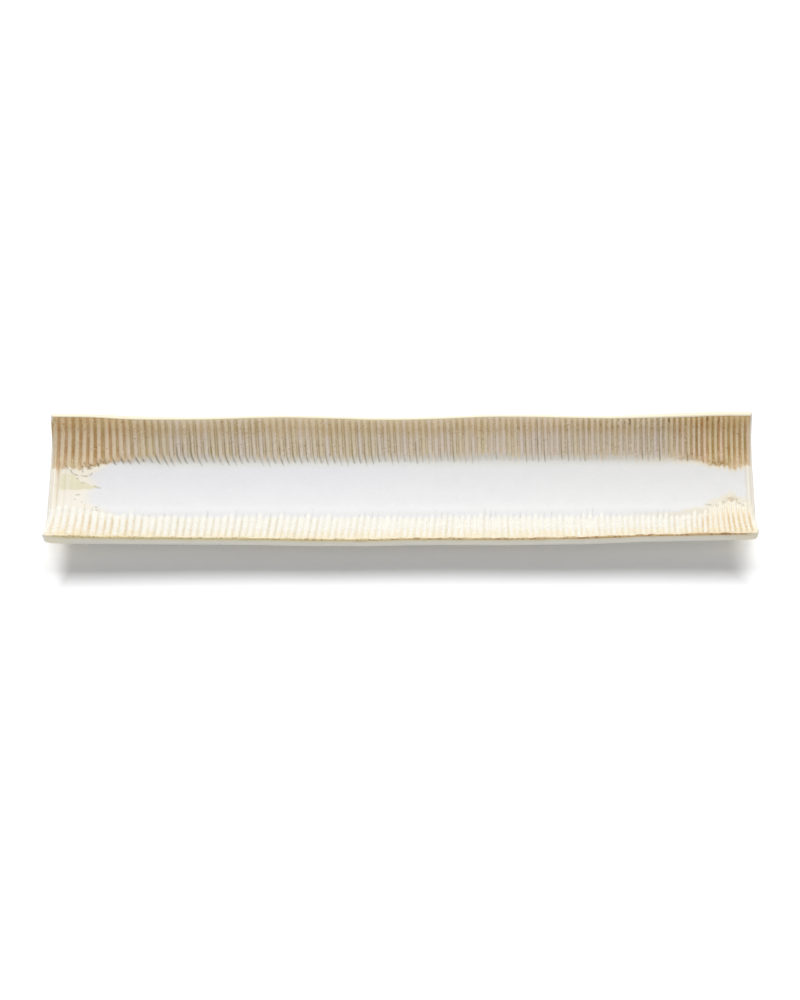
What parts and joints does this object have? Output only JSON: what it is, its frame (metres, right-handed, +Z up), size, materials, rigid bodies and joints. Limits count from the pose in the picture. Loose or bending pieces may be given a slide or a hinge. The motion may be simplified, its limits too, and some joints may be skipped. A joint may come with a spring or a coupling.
{
  "type": "asparagus plate",
  "caption": "Long narrow stoneware serving trough with open ends, combed upright walls, wavy rims, a white glazed floor and a low bare foot.",
  "frame": {"origin": "middle of the plate's box, on the surface that it stands on", "axes": "+X along the plate, +Y towards its back wall, +Z up"},
  "size_m": [0.4, 0.0844, 0.0248],
  "materials": {
    "clay_body": "fired stoneware with an amber edge",
    "bare_clay": "matte bare clay",
    "amber_glaze": "gloss, amber in the flutes and pale on the ribs",
    "white_glaze": "gloss white",
    "olive_glaze": "gloss olive cream",
    "cream_glaze": "gloss cream",
    "outer_glaze": "gloss off-white"
  },
  "bodies": {
    "root": {"slab_body": "clay_body", "foot_ring": "bare_clay", "back_wall_coat": "amber_glaze", "front_wall_coat": "amber_glaze", "floor_glaze": "white_glaze", "left_end_glaze": "olive_glaze", "right_end_glaze": "cream_glaze", "outside_glaze": "outer_glaze"}
  },
  "joints": []
}
